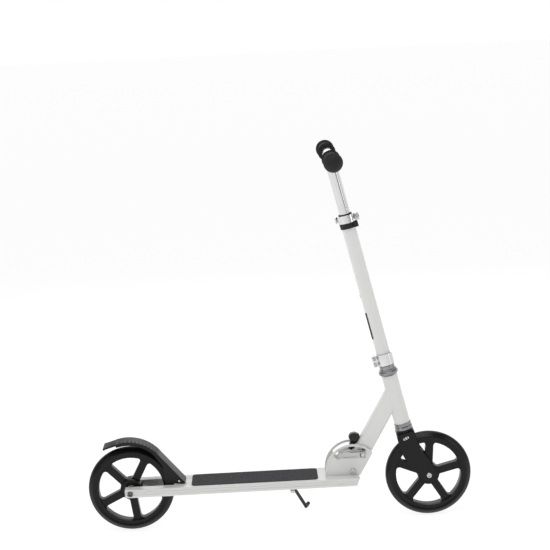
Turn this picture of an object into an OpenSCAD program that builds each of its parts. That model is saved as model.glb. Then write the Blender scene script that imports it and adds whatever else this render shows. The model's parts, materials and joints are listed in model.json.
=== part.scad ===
// Folding kick scooter with 200 mm wheels. Millimetres, +X forward, +Y to the rider's left, +Z up.
// The origin lies on the floor, midway between the two axles.

/* [Overall] */
// Distance between the two axles
wheelbase = 693; // [620:1:840]
// Outside diameter of both tyres
wheel_d = 200; // [180:1:240]
// Lean of the steering axis back from upright, in degrees
head_tilt = 13; // [8:0.5:18]
// Distance of the front axle ahead of the steering axis
fork_offset = 27; // [20:0.5:34]
// Length along the steering axis from the axle's level to the centre of the T tube
bar_height = 772; // [740:1:930]
// Width over the two grips
bar_width = 356; // [330:1:480]

/* [Deck] */
// Width of the deck extrusion
deck_w = 96; // [86:1:120]
// Height of the deck extrusion
deck_t = 19.5; // [17:0.5:24]
// Height of the deck's top face above the axles
deck_rise = 9.5; // [8:0.5:11]
// Wall of the extrusion
deck_wall = 2.5; // [2:0.1:3]
// Reach of the rear arms behind the axle
arm_tail = 12; // [10:0.5:16]
// Distance of the deck's front end behind the front axle, along its underside
deck_back = 170.5; // [166:0.5:178]
// Width of the slot that the rear wheel runs in
slot_w = 48; // [44:0.5:56]
// Width of the grip tape
tape_w = 81; // [60:1:84]
// Distance of the grip tape's rear end ahead of the rear wheel's slot
tape_gap = 33; // [28:1:120]
// Thickness of the grip tape
tape_t = 1.3; // [0.8:0.1:2]

/* [Wheels] */
// Width of the tyres
tyre_w = 30; // [28:0.5:34]
// Depth of the tyres above the rim
tyre_depth = 16; // [13:0.5:20]
// Radial thickness of the rim under the tyre
rim_t = 8; // [5:0.5:10]
// Diameter of the hub
hub_d = 50; // [44:1:56]
// Width of a spoke
spoke_w = 18; // [12:0.5:20]
// Number of spokes
spokes = 5; // [4:1:6]
// Diameter of both axles
axle_d = 8; // [7:0.5:9]
// Outside diameter of the wheel bearings
bearing_d = 22; // [20:0.5:24]
// Width of the wheel bearings
bearing_w = 7; // [6:0.5:8]

/* [Folding joint] */
// Lean of the down tube forward from upright, in degrees
tube_lean = 30; // [26:0.5:34]
// Distance of the fold pivot behind the front axle
pivot_back = 176.5; // [174:0.5:182]
// Height of the fold pivot above the deck's top face
pivot_rise = 10.5; // [10:0.5:14]
// Radius of the half-moon bracket plates
plate_r = 63; // [61:0.5:68]
// Thickness of a bracket plate
plate_t = 5; // [4:0.5:6]
// Angle that the front end folds through
fold_angle = 77; // [70:1:80]
// Distance of the lock axle from the pivot
lock_r = 46.8; // [46:0.2:49]
// Travel of the lock axle out of its notch
lock_travel = 7; // [6:0.5:8]
// Diameter of the pivot bolt and the lock axle
pin_d = 8; // [7:0.5:9]
// Length of the fold lever
lever_l = 53; // [44:1:60]

/* [Tubes] */
// Depth of the down tube, front to back
down_depth = 39; // [36:0.5:40]
// Width of the down tube
down_w = 30; // [27:0.5:34]
// Wall of the down tube
down_wall = 2.5; // [2:0.1:3]
// How much wider the head tube is than the steering tube
head_over = 5; // [4:0.5:8]
// Length of the head tube
head_l = 118; // [110:1:120]
// Outside diameter of the steering tube
column_d = 32; // [31:0.5:33]
// Wall of the steering tube
column_wall = 1.6; // [1.4:0.1:2]
// Length of the steering tube
column_l = 361; // [350:1:370]
// Outside diameter of the sliding stem
stem_d = 25.4; // [24.6:0.2:26]
// Outside diameter of the T tube
tee_d = 27; // [26.6:0.2:30]
// Outside diameter of the handle bars
bar_d = 22; // [21:0.2:22.4]
// Length of a grip
grip_l = 96; // [80:1:110]
// Travel of the stem between its lowest and highest holes
stem_travel = 100; // [60:5:110]

/* [Fork] */
// Thickness of a fork plate
fork_t = 5; // [4:0.5:6]
// Gap between the fork plates
fork_gap = 37; // [36:0.5:44]
// Width of a fork plate at the crown
fork_w = 42; // [40:0.5:45]

/* [Hidden] */
$fn = 96;

// Clearance of a shaft that turns or slides in its bore
run_gap = 0.05;
// Clearance between other parts that move past each other
rub_gap = 0.3;

// Places worked out from the sizes above
wheel_r = wheel_d / 2;
front_x = wheelbase / 2;
rear_x = -wheelbase / 2;
axis_x = front_x - fork_offset / cos(head_tilt);
pivot_x = front_x - pivot_back;
deck_front = front_x - deck_back;
head_d = column_d + head_over;
deck_top = wheel_r + deck_rise;
deck_bottom = deck_top - deck_t;
pivot_z = deck_top + pivot_rise;
slot_front = rear_x + wheel_r + 8.5;
tape_front = pivot_x - plate_r - 19;
tape_l = tape_front - slot_front - tape_gap;
nose_slope = 22;
pin_r = pin_d / 2;
axle_r = axle_d / 2;
plate_in = down_w / 2 + 2.5;
plate_out = plate_in + plate_t;
steerer_r = column_d / 2 - column_wall - 0.1;
crown_h = 7;
seal_h = 6;
crown_s = wheel_r + 6;
head_s = crown_s + 22;
head_top = head_s + head_l;
column_s = head_top + 26;
column_top = column_s + column_l;
low_clamp_h = 27;
top_clamp_h = 18;
cup_bearing_h = 7;
hole_s = column_s + 170;
tee_half = bar_width / 2 - grip_l - 2;
button_r = 3.9;
button_y = tee_half - 20;
join_t = (axis_x - pivot_x - (pivot_z - wheel_r) * tan(head_tilt))
    / (sin(tube_lean) + cos(tube_lean) * tan(head_tilt));

// ---- shapes that several pieces share ----

// An extrusion along Y of a view drawn in X and Z
module side(y0, y1) translate([0, y1, 0]) rotate([90, 0, 0]) linear_extrude(y1 - y0) children();

// A round bar along Y
module bar_y(r, y0, y1) translate([0, y0, 0]) rotate([-90, 0, 0]) cylinder(r = r, h = y1 - y0);

// A ring along Y
module ring_y(r_in, r_out, y0, y1) difference() {
    bar_y(r_out, y0, y1);
    bar_y(r_in, y0 - 1, y1 + 1);
}

// A ring along Z
module ring_z(r_in, r_out, h) difference() {
    cylinder(r = r_out, h = h);
    translate([0, 0, -1]) cylinder(r = r_in, h = h + 2);
}

// A rectangle with round corners
module round_rect(w, h, r) union() {
    square([w - 2 * r, h], center = true);
    square([w, h - 2 * r], center = true);
    for (i = [-1, 1], j = [-1, 1]) translate([i * (w / 2 - r), j * (h / 2 - r)]) circle(r);
}

// A sector of a circle from angle a0 to angle a1
module fan(r, a0, a1) polygon(concat([[0, 0]],
    [for (i = [0:8]) r * [cos(a0 + (a1 - a0) * i / 8), sin(a0 + (a1 - a0) * i / 8)]]));

// A part of a ring from angle a0 to angle a1
module arc_band(r_in, r_out, a0, a1) intersection() {
    difference() {
        circle(r_out);
        circle(r_in);
    }
    fan(2 * r_out, a0, a1);
}

// The steering axis: local Z runs up the axis from the axles' level
module on_axis(s = 0) translate([axis_x, 0, wheel_r]) rotate([0, -head_tilt, 0])
    translate([0, 0, s]) children();

// The down tube: local Z runs up the tube from the fold pivot, local X points to its front face
module on_down_tube() at_pivot() rotate([0, tube_lean, 0]) children();

module at_rear() translate([rear_x, 0, wheel_r]) children();
module at_front() translate([front_x, 0, wheel_r]) children();
module at_pivot() translate([pivot_x, 0, pivot_z]) children();

// A coil spring along Z: an eight-sided wire swept round a helix
function coil_ring(r, wire, a, z) = [for (k = [0:7])
    [(r + wire * cos(k * 45)) * cos(a), (r + wire * cos(k * 45)) * sin(a), z + wire * sin(k * 45)]];
module coil(r, wire, turns, h) {
    steps = round(turns * 16);
    rings = [for (i = [0:steps]) coil_ring(r, wire, i * 22.5, wire + i / steps * (h - 2 * wire))];
    sides = [for (i = [0:steps - 1]) for (k = [0:7])
        [i * 8 + (k + 1) % 8, i * 8 + k, i * 8 + 8 + k, i * 8 + 8 + (k + 1) % 8]];
    caps = [[for (k = [0:7]) k], [for (k = [7:-1:0]) steps * 8 + k]];
    polyhedron([for (ring = rings) for (p = ring) p], concat(sides, caps));
}

// A bolt along Y with a round head and a hexagon socket, its head at the low end
module bolt_y(r, y0, y1, head_r, head_h) difference() {
    union() {
        bar_y(r, y0, y1);
        translate([0, y0, 0]) rotate([90, 0, 0]) rotate_extrude()
            polygon([[0, 0], [head_r, 0], [head_r, head_h * 0.55], [head_r - 1.2, head_h], [0, head_h]]);
    }
    translate([0, y0 - head_h * 0.35, 0]) rotate([90, 0, 0]) cylinder(r = r * 0.75, h = head_h, $fn = 6);
}

// A hexagon nut along Y
module nut_y(r, y0, y1, across) difference() {
    translate([0, y0, 0]) rotate([-90, 0, 0]) cylinder(r = across / sqrt(3), h = y1 - y0, $fn = 6);
    bar_y(r, y0 - 1, y1 + 1);
}

// ---- deck ----

cell_w = (deck_w - slot_w) / 2 - 2 * deck_wall;
cell_y = deck_w / 2 - deck_wall - cell_w / 2;
cell_h = deck_t - 2 * deck_wall;

module deck_section() translate([0, -deck_t / 2]) difference() {
    round_rect(deck_w, deck_t, 3);
    for (i = [-1, 1]) {
        translate([i * cell_y, 0]) square([cell_w, cell_h], center = true);
        translate([i * slot_w / 4, 0]) square([slot_w / 2 - deck_wall, cell_h], center = true);
        for (z = [-2, 4]) translate([i * deck_w / 2, z]) square([1.6, 1.6], center = true);
    }
}

// Everything ahead of the sloping front end of the deck
module nose_cut(back) translate([deck_front - back, 0, deck_bottom]) rotate([0, nose_slope, 0])
    translate([0, -deck_w, -20]) cube([40, 2 * deck_w, 60]);

module deck() color("whitesmoke") difference() {
    back = rear_x - arm_tail;
    translate([back, 0, deck_top]) rotate([90, 0, 90])
        linear_extrude(deck_front + 12 - back) deck_section();
    nose_cut(0);
    translate([back - 1, -slot_w / 2, deck_bottom - 1]) cube([slot_front - back + 1, slot_w, deck_t + 2]);
    at_rear() bar_y(axle_r, -deck_w, deck_w);
    at_pivot() bar_y(down_depth / 2 + 1.5, -plate_in, plate_in);
    deck_screw_places() cylinder(r = 2.5, h = 8);
}

module deck_plugs() color("dimgray") difference() {
    for (i = [-1, 1]) translate([deck_front - 16, i * cell_y - cell_w / 2, deck_bottom + deck_wall])
        cube([30, cell_w, cell_h]);
    nose_cut(1);
}

module grip_tape() color("#3a3b3e") translate([tape_front - tape_l / 2, 0, deck_top])
    linear_extrude(tape_t) round_rect(tape_l, tape_w, 10);

// ---- folding bracket ----

web_l = plate_r - down_depth / 2 - 6;
web_t = 3;

module bracket_screw_places() for (x = [8, web_l - 7], i = [-1, 1])
    translate([pivot_x - plate_r + 2 + x, i * (plate_in - 6), deck_top - deck_wall]) children();

module fender_screw_place() translate([hinge_x + 5, 0, deck_top - deck_wall]) children();

// The screws of the bracket, the fender bracket and, from below, the kickstand
module deck_screw_places() {
    bracket_screw_places() children();
    fender_screw_place() children();
    for (x = [-14, 16]) translate([stand_pivot[0] + x, stand_pivot[1] - 13, deck_bottom + deck_wall])
        mirror([0, 0, 1]) children();
}

module screw(grip) difference() {
    union() {
        cylinder(r = 2.5, h = deck_wall + grip);
        translate([0, 0, deck_wall + grip]) cylinder(r = 4.2, h = 2.4);
    }
    translate([0, 0, deck_wall + grip + 1]) cylinder(r = 1.5, h = 3, $fn = 6);
}

module deck_screws() color("silver") {
    bracket_screw_places() screw(web_t);
    fender_screw_place() screw(2);
    for (x = [-14, 16]) translate([stand_pivot[0] + x, stand_pivot[1] - 13, deck_bottom + deck_wall])
        mirror([0, 0, 1]) screw(3);
}

module bracket_plate() difference() {
    intersection() {
        translate([pivot_x, pivot_z]) circle(plate_r);
        translate([pivot_x - plate_r, deck_top]) square([2 * plate_r, 2 * plate_r]);
        translate([pivot_x, pivot_z]) rotate(-tube_lean) translate([-2 * plate_r, -2 * plate_r])
            square([2 * plate_r + down_depth / 2 + 0.6, 4 * plate_r]);
    }
    translate([pivot_x, pivot_z]) {
        circle(pin_r);
        // the slot is as wide as everything that the lock axle can sweep
        slot_in = lock_r - pin_r - rub_gap;
        spare = asin((pin_r + rub_gap) / slot_in);
        rotate(90 - tube_lean) arc_band(slot_in, lock_r + lock_travel + pin_r + rub_gap,
            -spare, fold_angle + spare);
    }
}

module bracket() color("whitesmoke") difference() {
    union() {
        side(plate_in, plate_out) bracket_plate();
        side(-plate_out, -plate_in) bracket_plate();
        translate([pivot_x - plate_r + 2, -plate_in - 1, deck_top]) cube([web_l, 2 * plate_in + 2, web_t]);
    }
    bracket_screw_places() cylinder(r = 2.5, h = 20);
}

module pivot_bolt() color("silver") at_pivot() bolt_y(pin_r, -plate_out, plate_out + 7.5, 6.5, 4);

module pivot_nut() color("silver") at_pivot() nut_y(pin_r, plate_out, plate_out + 6, 13);

module pivot_washers() color("black") at_pivot() for (y = [-plate_in, down_w / 2 + rub_gap])
    ring_y(pin_r, 8, y, y + plate_in - down_w / 2 - rub_gap);

// ---- wheels ----

module tyre() color("#141416") rotate([90, 0, 0]) rotate_extrude() difference() {
    bead = wheel_r - tyre_depth;
    shoulder = 10;
    union() {
        translate([bead, -tyre_w / 2]) square([tyre_depth - shoulder, tyre_w]);
        translate([bead, shoulder - tyre_w / 2]) square([tyre_depth, tyre_w - 2 * shoulder]);
        intersection() {
            for (i = [-1, 1]) translate([wheel_r - shoulder, i * (tyre_w / 2 - shoulder)]) circle(shoulder);
            translate([bead, -tyre_w]) square([tyre_depth, 2 * tyre_w]);
        }
    }
    translate([bead - 1, -4]) square([5, 8]);
}

// The windows between the spokes, which leave a small fillet along the hub and the rim
module core_windows() difference() {
    circle(wheel_r - tyre_depth - rim_t - 0.6);
    circle(hub_d / 2 + 0.6);
    for (k = [0:spokes - 1]) rotate(k * 360 / spokes) translate([0, -spoke_w / 2]) square([wheel_r, spoke_w]);
}

module wheel_core(turn) color("#17171a") rotate([0, -turn, 0]) difference() {
    rim = wheel_r - tyre_depth;
    hub_r = hub_d / 2;
    rotate([90, 0, 0]) rotate_extrude() union() {
        translate([rim - rim_t, 1.5 - tyre_w / 2]) square([rim_t, tyre_w - 3]);
        translate([rim - 1, -4]) square([5, 8]);
        translate([hub_r - 1, -8]) square([rim - rim_t - hub_r + 2, 16]);
        translate([bearing_d / 2 - 4, bearing_w - tyre_w / 2])
            square([hub_r - bearing_d / 2 + 4, tyre_w - 2 * bearing_w]);
        translate([bearing_d / 2, -tyre_w / 2]) square([hub_r - bearing_d / 2, tyre_w]);
    }
    side(-tyre_w, tyre_w) core_windows();
}

module bearings() color("silver") for (m = [0, 1]) mirror([0, m, 0]) difference() {
    ring_y(axle_r + run_gap, bearing_d / 2, tyre_w / 2 - bearing_w, tyre_w / 2);
    ring_y(axle_r + 2.5, bearing_d / 2 - 2.5, tyre_w / 2 - 0.8, tyre_w / 2 + 1);
}

// The tube between the two bearings and the rings between the bearings and what holds the axle
module wheel_spacers(gap) color("silver") {
    ring_y(axle_r, axle_r + 2, bearing_w + 0.1 - tyre_w / 2, tyre_w / 2 - bearing_w - 0.1);
    for (m = [0, 1]) mirror([0, m, 0]) ring_y(axle_r, axle_r + 2.4, tyre_w / 2 + 0.2, gap / 2);
}

module wheel_axle(grip) color("silver") bolt_y(axle_r, -grip / 2, grip / 2 + 8, 6.5, 4);
module wheel_nut(grip) color("silver") nut_y(axle_r, grip / 2, grip / 2 + 6.5, 13);

module rear_axle() at_rear() wheel_axle(deck_w);
module rear_axle_nut() at_rear() wheel_nut(deck_w);
module rear_spacers() at_rear() wheel_spacers(slot_w);
module rear_tyre() at_rear() tyre();
module rear_core() at_rear() wheel_core(62);
module rear_bearings() at_rear() bearings();
module front_axle() at_front() wheel_axle(fork_gap + 2 * fork_t);
module front_axle_nut() at_front() wheel_nut(fork_gap + 2 * fork_t);
module front_spacers() at_front() wheel_spacers(fork_gap);
module front_tyre() at_front() tyre();
module front_core() at_front() wheel_core(14);
module front_bearings() at_front() bearings();

// ---- fender brake ----

// The fender's arc has its own centre, so that it closes on the tyre towards the front
fender_at = [rear_x - 3.9, wheel_r + 20.8];
fender_wall = 3;
fender_in = wheel_r - 8;
fender_out = fender_in + fender_wall;
fender_half = tyre_w / 2 + 7;
// Polar angles, from that centre, of the start of the tail and of the straight front
fender_tail = 106;
fender_ridge = 40;
fender_tip = 29;
pad_gap = 4;
hinge_x = rear_x + wheel_r + 12.5;
hinge_z = deck_top + 7.5;
hinge_r = 2.5;
// Length of the straight front, down to its clearance over the deck
fender_fall = (fender_at[1] - wheel_r + fender_out * sin(fender_ridge) - deck_rise - 3) / cos(fender_ridge);

module at_hinge() translate([hinge_x, 0, hinge_z]) children();

module fender_skin() translate(fender_at) {
    arc_band(fender_in, fender_out, fender_ridge - 1, fender_tail);
    rotate(fender_tail) translate([fender_in - 1, -1]) {
        square([fender_wall + 0.7, fender_tip]);
        translate([1.6, fender_tip]) circle(2.6);
    }
    rotate(fender_ridge) translate([fender_in + 0.2, -fender_fall])
        square([fender_wall - 0.4, fender_fall + 0.5]);
}

module fender_side() translate(fender_at) {
    foot = deck_top + 2.5 - fender_at[1];
    heel = rear_x + wheel_r - 19 - fender_at[0];
    toe = (fender_in + 1) * [cos(fender_ridge), sin(fender_ridge)]
        + fender_fall * [sin(fender_ridge), -cos(fender_ridge)];
    arc_band(fender_in - 5, fender_in + 1, fender_ridge - 1, fender_tail);
    polygon([(fender_in - 4) * [cos(49), sin(49)], (fender_in + 1) * [cos(49), sin(49)],
        (fender_in + 1) * [cos(fender_ridge), sin(fender_ridge)], toe, [toe[0], foot], [heel, foot],
        (fender_in - 5) * [cos(23), sin(23)]]);
}

module fender() color("#1a1a1c") difference() {
    union() {
        side(-fender_half, fender_half) fender_skin();
        side(fender_half - 3.6, fender_half) fender_side();
        side(-fender_half, 3.6 - fender_half) fender_side();
        for (k = [-5:5]) translate([fender_at[0], 0, fender_at[1]]) rotate([0, -(72 + k * 5.4), 0])
            translate([fender_out, 0, 0]) cube([2.4, 36, 2.8], center = true);
    }
    at_hinge() bar_y(hinge_r + run_gap, -2 * fender_half, 2 * fender_half);
}

module brake_pad() color("silver") side(-10, 10) intersection() {
    translate([rear_x, wheel_r]) arc_band(wheel_r + pad_gap, wheel_r + 30, 80, 104);
    translate(fender_at) circle(fender_in);
}

module fender_bracket() color("silver") difference() {
    ear_y = tyre_w / 2 - 3;
    union() {
        translate([slot_front + 1, -ear_y - 3, deck_top]) cube([hinge_x + 8.5 - slot_front, 2 * ear_y + 6, 2]);
        for (m = [0, 1]) mirror([0, m, 0]) side(ear_y, ear_y + 3) {
            translate([hinge_x, hinge_z]) circle(4.5);
            translate([hinge_x - 3, deck_top]) square([7.5, hinge_z - deck_top]);
        }
    }
    at_hinge() bar_y(hinge_r, -40, 40);
    fender_screw_place() cylinder(r = 2.5, h = 20);
}

module fender_pin() color("silver") at_hinge() bar_y(hinge_r, -fender_half - 1, fender_half + 1);

module fender_spring() color("gray") at_hinge() translate([0, 3.4 - tyre_w / 2, 0])
    rotate([-90, 0, 0]) coil(hinge_r + 1.1, 0.7, 3, 6.8);

// ---- kickstand ----

rod_r = 4;
stand_pivot = [28, 22.5, deck_bottom - 12];
stand_roll = -53.3;
stand_aim = 70.9;
stand_dir = [cos(stand_aim), sin(stand_aim) * cos(stand_roll), sin(stand_aim) * sin(stand_roll)];
rod_l = (stand_pivot[2] - rod_r - 0.3) / -stand_dir[2];
stand_elbow = stand_pivot + rod_l * stand_dir;
foot_l = 23;
foot_turn = 73;
barrel_r = 6;
barrel_half = 5;

module at_stand() translate(stand_pivot) rotate([stand_roll, 0, 0]) children();
module at_elbow() translate(stand_elbow) rotate([0, 0, foot_turn]) rotate([0, 90, 0]) children();

module stand_bracket() color("#2a2a2c") difference() {
    union() {
        translate([stand_pivot[0] - 22, stand_pivot[1] - 20, deck_bottom - 3]) cube([46, 41, 3]);
        intersection() {
            at_stand() for (m = [0, 1]) mirror([0, 0, m]) translate([0, 0, barrel_half + rub_gap]) union() {
                cylinder(r = 7, h = 4);
                translate([-7, -20, 0]) cube([14, 20, 4]);
            }
            translate([stand_pivot[0] - 30, stand_pivot[1] - 30, deck_bottom - 32]) cube([60, 60, 32]);
        }
    }
    at_stand() translate([0, 0, -30]) cylinder(r = 3, h = 60);
    deck_screw_places() cylinder(r = 2.5, h = 8);
}

// The pin runs on through the spring to a head at its lower end
module stand_pin() color("silver") at_stand() {
    low = -barrel_half - 13.5;
    translate([0, 0, low]) cylinder(r = 3, h = 2 * barrel_half + 17.8);
    translate([0, 0, low - 1.5]) cylinder(r = 5.5, h = 1.5);
}

module stand_spring() color("gray") at_stand() translate([0, 0, -barrel_half - 13])
    coil(4.4, 0.7, 5, 8);

module stand_leg() color("#2a2a2c") difference() {
    union() {
        at_stand() translate([0, 0, -barrel_half]) cylinder(r = barrel_r, h = 2 * barrel_half);
        at_stand() rotate([0, 0, stand_aim]) rotate([0, 90, 0]) cylinder(r = rod_r, h = rod_l);
        translate(stand_elbow) sphere(rod_r + 0.2);
        at_elbow() cylinder(r = rod_r, h = foot_l - 2);
    }
    at_stand() translate([0, 0, -30]) cylinder(r = 3 + run_gap, h = 60);
}

module stand_foot() color("#1c1c1e") at_elbow() difference() {
    translate([0, 0, 7]) cylinder(r = rod_r + 0.3, h = foot_l - 7);
    translate([0, 0, 6]) cylinder(r = rod_r, h = foot_l - 8);
}

// ---- front frame ----

tube_stop = 92;

module front_frame() color("whitesmoke") difference() {
    union() {
        on_down_tube() linear_extrude(join_t) round_rect(down_depth, down_w, 9);
        at_pivot() bar_y(down_depth / 2, -down_w / 2, down_w / 2);
        on_axis(head_s) cylinder(r = head_d / 2, h = head_l);
    }
    on_axis(head_s - 1) cylinder(r = cup_skirt, h = head_l + 2);
    at_pivot() bar_y(pin_r + run_gap, -down_w, down_w);
    on_down_tube() {
        for (t = [[24, tube_stop], [tube_stop + 3, join_t - 38]]) translate([0, 0, t[0]])
            linear_extrude(t[1] - t[0]) round_rect(down_depth - 2 * down_wall, down_w - 2 * down_wall, 6.5);
        side(-down_w, down_w) translate([0, lock_r + lock_travel / 2])
            round_rect(pin_d + 2 * run_gap, lock_travel + pin_d + 2 * rub_gap, pin_r + run_gap - 0.01);
        side(-4.2, 4.2) translate([-down_depth / 2 - 2, knob_t - rub_gap])
            square([down_depth / 2, 8 + lock_travel + 2 * rub_gap]);
    }
}

cup_skirt = head_d / 2 - 2.5;
race_r = cup_skirt + 2.4;

module lower_cup() color("silver") on_axis() rotate_extrude() {
    low = crown_s + seal_h + rub_gap;
    high = low + cup_bearing_h + 1;
    polygon([[race_r, low], [head_d / 2 + 2, low], [head_d / 2 + 2, low + 6], [head_d / 2 + 0.8, low + 8],
        [head_d / 2 + 1.4, head_s], [cup_skirt, head_s], [cup_skirt, head_s + 8],
        [cup_skirt - 1, head_s + 8], [cup_skirt - 1, high], [race_r, high]]);
}

module upper_cup() color("silver") on_axis() rotate_extrude() {
    high = head_top + 11;
    polygon([[cup_skirt - 1, head_top - 8], [cup_skirt, head_top - 8], [cup_skirt, head_top],
        [head_d / 2, head_top], [head_d / 2 + 4, head_top + 5], [head_d / 2 + 4, high - 1],
        [head_d / 2 + 3, high], [race_r, high], [race_r, high - cup_bearing_h - 1],
        [cup_skirt - 1, high - cup_bearing_h - 1]]);
}

module headset_bearings() color("silver")
    for (s = [crown_s + seal_h + rub_gap + 1, head_top + 11 - cup_bearing_h - 1])
        on_axis(s) ring_z(steerer_r + run_gap, race_r, cup_bearing_h);

module lock_spring() color("gray") on_down_tube() translate([0, 0, knob_t + 4])
    coil(6, 0.9, 7, tube_stop - knob_t - 4);

// ---- fold lock ----

knob_t = lock_r + pin_r + 8;
knob_skirt = 20;
cam_y = plate_out + 9;

module at_lock() on_down_tube() translate([0, 0, lock_r]) children();
module at_cam() at_lock() rotate([0, -tube_lean, 0]) translate([0, -cam_y, 0]) children();

module lock_axle() color("silver") {
    at_lock() bar_y(pin_r, -cam_y, plate_out + 10);
    at_cam() translate([0, 0, -3.6]) cylinder(r = 5.5, h = 7.2);
    at_cam() translate([0, 0, -8]) cylinder(r = 2, h = 16);
}

module lock_nut() color("silver") at_lock() {
    nut_y(pin_r, plate_out + 3, plate_out + 9, 13);
    ring_y(pin_r, 9, plate_out + rub_gap, plate_out + 2.5);
    ring_y(pin_r, 9, -plate_out - 2.5, -plate_out - rub_gap);
}

module lock_slider() color("dimgray") on_down_tube() difference() {
    translate([-13, -10, lock_r - 8]) cube([22, 20, knob_t + 4 - lock_r + 8]);
    translate([0, 0, lock_r]) bar_y(pin_r + run_gap, -20, 20);
    translate([-14, -3.8, knob_t - 4]) cube([8, 7.6, 8]);
}

module release_knob() color("#101012") on_down_tube() {
    back = down_depth / 2 + 2;
    side(-3.8, 3.8) translate([-back - 1, knob_t]) square([back + 1 - 13, 7.6]);
    side(-7.5, 7.5) translate([0, knob_t]) polygon([[-back, -knob_skirt], [-back, 18], [-back - 3, 21],
        [-back - 14, 20], [-back - 21, 14], [-back - 23, 8], [-back - 21, 2], [-back - 16, 0],
        [-back - 13, -4], [-back - 11, -knob_skirt]]);
}

module fold_lever() color("#a9aca6") at_cam() difference() {
    union() {
        translate([0, 0, -7]) cylinder(r = 6.2, h = 14);
        translate([-lever_l, -3.5, -7]) cube([lever_l, 5, 14]);
        translate([-lever_l, -3.5 + 2.5, -7]) cylinder(r = 2.5, h = 14);
    }
    translate([0, 0, -9]) cylinder(r = 2 + run_gap, h = 18);
    translate([0, 0, -pin_r - rub_gap]) cylinder(r = 7.5, h = 2 * pin_r + 2 * rub_gap);
    translate([-lever_l + 6, -5, -4]) cube([lever_l - 20, 3, 8]);
}

// ---- fork ----

axle_u = fork_offset;
axle_v = -fork_offset * tan(head_tilt);

module fork_plate() difference() {
    half = fork_w / 2;
    union() {
        polygon([[-half, crown_s], [-half, 62], [-half + 3, 50], [-10, 22], [axle_u - 14, axle_v - 9],
            [axle_u, axle_v], [axle_u + 16.5, axle_v + 4], [half + 16, 28], [half + 3, 62], [half, 80],
            [half, crown_s]]);
        translate([axle_u, axle_v]) circle(17);
    }
    translate([axle_u, axle_v]) circle(axle_r);
    translate([-2, crown_s - crown_h - 5]) rotate(14) round_rect(14, 5.5, 2.7);
}

module fork() color("#131314") on_axis() difference() {
    union() {
        side(fork_gap / 2, fork_gap / 2 + fork_t) fork_plate();
        side(-fork_gap / 2 - fork_t, -fork_gap / 2) fork_plate();
        translate([0, 0, crown_s - crown_h]) linear_extrude(crown_h)
            square([fork_w, fork_gap + 2 * fork_t], center = true);
        translate([0, 0, crown_s - 1]) cylinder(r = head_d / 2 + 1.5, h = seal_h + 1);
        translate([0, 0, crown_s]) cylinder(r = steerer_r, h = column_s + 28 - crown_s);
    }
    translate([0, 0, crown_s + seal_h]) cylinder(r = steerer_r - 3, h = column_s + 30);
}

module headset_nut() color("silver") on_axis(head_top + 11 + rub_gap) difference() {
    union() {
        cylinder(r = head_d / 2 + 1.5, h = 3.5);
        cylinder(r = head_d / 2 - 1, h = 13);
    }
    translate([0, 0, -1]) cylinder(r = steerer_r, h = 20);
}

// ---- steering column ----

column_r = column_d / 2;
ear_l = 13;

module steering_tube() color("whitesmoke") on_axis() difference() {
    translate([0, 0, column_s]) cylinder(r = column_r, h = column_l);
    translate([0, 0, column_s - 1]) cylinder(r = column_r - column_wall, h = column_l + 2);
    // one slot joins the height holes, so that the stem can slide with its button out
    translate([-2 * column_r, 0, hole_s + stem_travel / 2]) rotate([90, 0, 90]) linear_extrude(2 * column_r)
        round_rect(2 * button_r + 0.6, stem_travel + 2 * button_r + 0.6, button_r + 0.29);
}

module tube_strip() color("#202022") on_axis(column_s + 66) linear_extrude(64) rotate(90)
    arc_band(column_r, column_r + 0.25, 0, 178);

// A split collar whose ears point to the given side
module collar(way, h) difference() {
    union() {
        cylinder(r = column_r + 3.7, h = h);
        translate([way > 0 ? 0 : -column_r - ear_l, -8, 0]) cube([column_r + ear_l, 16, h]);
    }
    translate([0, 0, -1]) cylinder(r = column_r, h = h + 2);
    translate([way > 0 ? 0 : -50, -1, -1]) cube([50, 2, h + 2]);
}

clamp_u = column_r + 8;

module lower_clamp() color("silver") on_axis(column_s) difference() {
    collar(-1, low_clamp_h);
    for (s = [6.5, low_clamp_h - 6.5]) translate([-clamp_u, 0, s]) bar_y(2.5, -20, 20);
}

module upper_clamp() color("silver") on_axis(column_top - top_clamp_h) difference() {
    collar(1, top_clamp_h);
    translate([clamp_u + 1, 0, top_clamp_h / 2]) bar_y(2.5, -20, 20);
}

module clamp_bolts() color("silver") on_axis(column_s) for (s = [6.5, low_clamp_h - 6.5])
    translate([-clamp_u, 0, s]) {
        bolt_y(2.5, -8, 12.5, 4.3, 4);
        nut_y(2.5, 8, 12, 8);
    }

cam_reach = 14;

module at_top_cam() on_axis(column_top - top_clamp_h / 2) translate([clamp_u + 1, cam_reach, 0]) children();

module lever_bolt() color("silver") {
    on_axis(column_top - top_clamp_h / 2) translate([clamp_u + 1, 0, 0]) bolt_y(2.5, -8, cam_reach, 5, 4);
    at_top_cam() translate([0, 0, -3]) cylinder(r = 4, h = 6);
    at_top_cam() translate([0, 0, -8]) cylinder(r = 1.8, h = 16);
}

module clamp_lever() color("silver") on_axis(column_top - top_clamp_h / 2) difference() {
    wrap = column_r + 7;
    translate([0, 0, -7]) linear_extrude(14) union() {
        translate([clamp_u + 1, cam_reach]) circle(5.5);
        arc_band(wrap, wrap + 3, 24, 165);
        translate([wrap, cam_reach]) square([clamp_u + 1 - wrap + 2, 3.5]);
        rotate(165) translate([wrap + 1.5, 0]) circle(2.2);
    }
    translate([clamp_u + 1, cam_reach, -3.3]) cylinder(r = 7, h = 6.6);
    translate([clamp_u + 1, cam_reach, -9]) cylinder(r = 1.8 + run_gap, h = 18);
}

clip_h = 12;

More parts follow.
